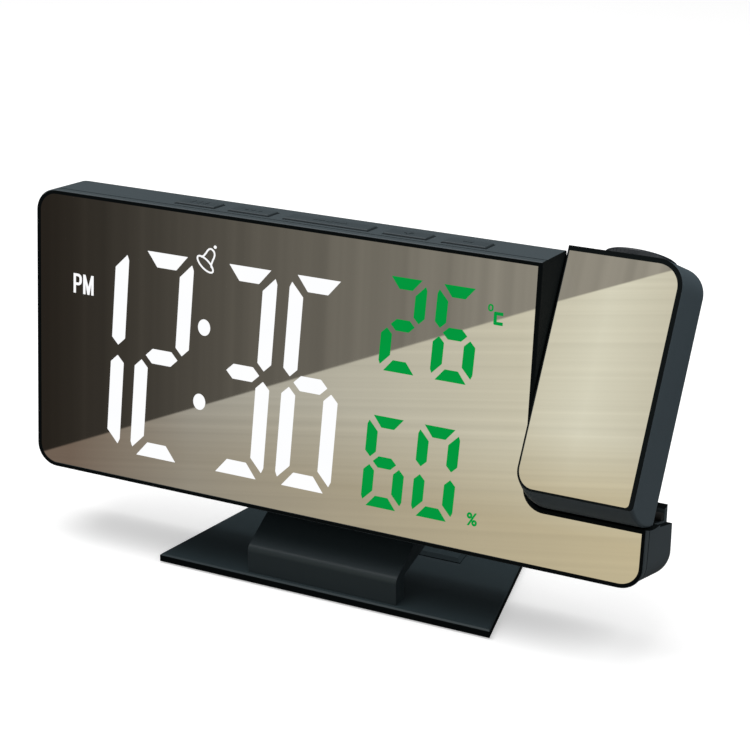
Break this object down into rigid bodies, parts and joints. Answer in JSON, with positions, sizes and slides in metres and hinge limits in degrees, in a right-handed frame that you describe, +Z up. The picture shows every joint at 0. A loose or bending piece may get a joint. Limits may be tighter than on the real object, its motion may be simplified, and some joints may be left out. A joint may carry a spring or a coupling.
{
  "type": "projection alarm clock",
  "caption": "Mirror-faced digital alarm clock on a bracket stand, with top buttons and a swivelling projector arm that throws the time onto a wall or ceiling.",
  "frame": {"origin": "on the surface that the rubber pad stands on, in the middle of the base plate's footprint", "axes": "+Z up, the display faces -Y, +X towards the projector arm"},
  "size_m": [0.187, 0.0585, 0.1063],
  "materials": {
    "rim": "satin black moulding",
    "case": "fine matt texture, dark blue-grey",
    "arm": "fine matt texture, dark blue-grey",
    "mirror": "smoky half-silvered film behind clear acrylic",
    "mask": "matt black",
    "white_guide": "milky, lit white from behind",
    "green_guide": "milky green, lit from behind",
    "circuit_board": "green solder mask",
    "led_body": "moulded lamp bodies",
    "chip": "matt black moulding",
    "cell_steel": "brushed",
    "screw_steel": "dark zinc plated",
    "socket": "gloss black moulding",
    "button": "matt, a shade darker than the case",
    "rubber": "matt black",
    "bush": "smooth black acetal",
    "cable": "black sleeve",
    "chassis": "matt black",
    "clear_lens": "clear moulded optic",
    "ring": "satin black with a polished edge",
    "base": "satin to gloss dark blue-grey",
    "bracket": "satin dark blue-grey"
  },
  "bodies": {
    "case": {"front_frame": "rim", "rear_shell": "case", "case_screws": "screw_steel", "trough_bead": "rubber", "mirror_panel": "mirror", "light_mask": "mask", "time_light_guides": "white_guide", "climate_light_guides": "green_guide", "sign_films": "white_guide", "display_board": "circuit_board", "display_leds": "led_body", "display_screws": "screw_steel", "main_board": "circuit_board", "board_screws": "screw_steel", "control_chip": "chip", "board_link": "chip", "buzzer": "chip", "cell_holder": "chip", "coin_cell": "cell_steel", "power_socket": "socket", "climate_sensor": "chip", "battery_door": "case", "button_board": "circuit_board", "tact_switches": "chip", "hinge_bush": "bush", "base_plate": "base", "rubber_pad": "rubber", "support_bracket": "bracket", "plate_screws": "screw_steel", "stand_screws": "screw_steel"},
    "arm": {"arm_shell": "arm", "arm_mirror": "mirror", "arm_chassis": "chassis", "arm_screws": "screw_steel", "lamp_board": "circuit_board", "projector_lamp": "clear_lens", "condenser_lens": "clear_lens", "image_cell": "clear_lens", "hinge_axle": "bush", "hinge_cable": "cable", "friction_washer": "rubber", "hinge_nut": "screw_steel"},
    "lens": {"lens_barrel": "chassis", "projection_lens": "clear_lens"},
    "ring": {"focus_ring": "ring"},
    "mode_key": {"mode_button": "button"},
    "alarm_key": {"alarm_button": "button"},
    "snooze_key": {"snooze_button": "button"},
    "up_key": {"up_button": "button"},
    "down_key": {"down_button": "button"}
  },
  "joints": [
    {"name": "arm_swing", "type": "hinge", "parent": "case", "child": "arm", "pos_m": [0.061, -0.00847, 0.06874], "axis": [-1, 0, 0], "range_deg": [-26, 110]},
    {"name": "focus_turn", "type": "hinge", "parent": "arm", "child": "ring", "pos_m": [0.0774, 0.00971, 0.09972], "axis": [0, 0.5299, 0.848], "range_deg": [-60.5, 60.5]},
    {"name": "focus_travel", "type": "slide", "parent": "arm", "child": "lens", "axis": [0, 0.5299, 0.848], "range_m": [-0.0008, 0.0008]},
    {"name": "mode_press", "type": "slide", "parent": "case", "child": "mode_key", "axis": [0, -0.0985, -0.9951], "range_m": [0, 0.0005], "stiffness_N_per_m": 900, "springref_m": -0.0008},
    {"name": "alarm_press", "type": "slide", "parent": "case", "child": "alarm_key", "axis": [0, -0.0985, -0.9951], "range_m": [0, 0.0005], "stiffness_N_per_m": 900, "springref_m": -0.0008},
    {"name": "snooze_press", "type": "slide", "parent": "case", "child": "snooze_key", "axis": [0, -0.0985, -0.9951], "range_m": [0, 0.0005], "stiffness_N_per_m": 900, "springref_m": -0.0008},
    {"name": "up_press", "type": "slide", "parent": "case", "child": "up_key", "axis": [0, -0.0985, -0.9951], "range_m": [0, 0.0005], "stiffness_N_per_m": 900, "springref_m": -0.0008},
    {"name": "down_press", "type": "slide", "parent": "case", "child": "down_key", "axis": [0, -0.0985, -0.9951], "range_m": [0, 0.0005], "stiffness_N_per_m": 900, "springref_m": -0.0008}
  ],
  "couplings": [
    {"joint": "focus_turn", "follows": "focus_travel", "rad_per_m": 1309}
  ]
}
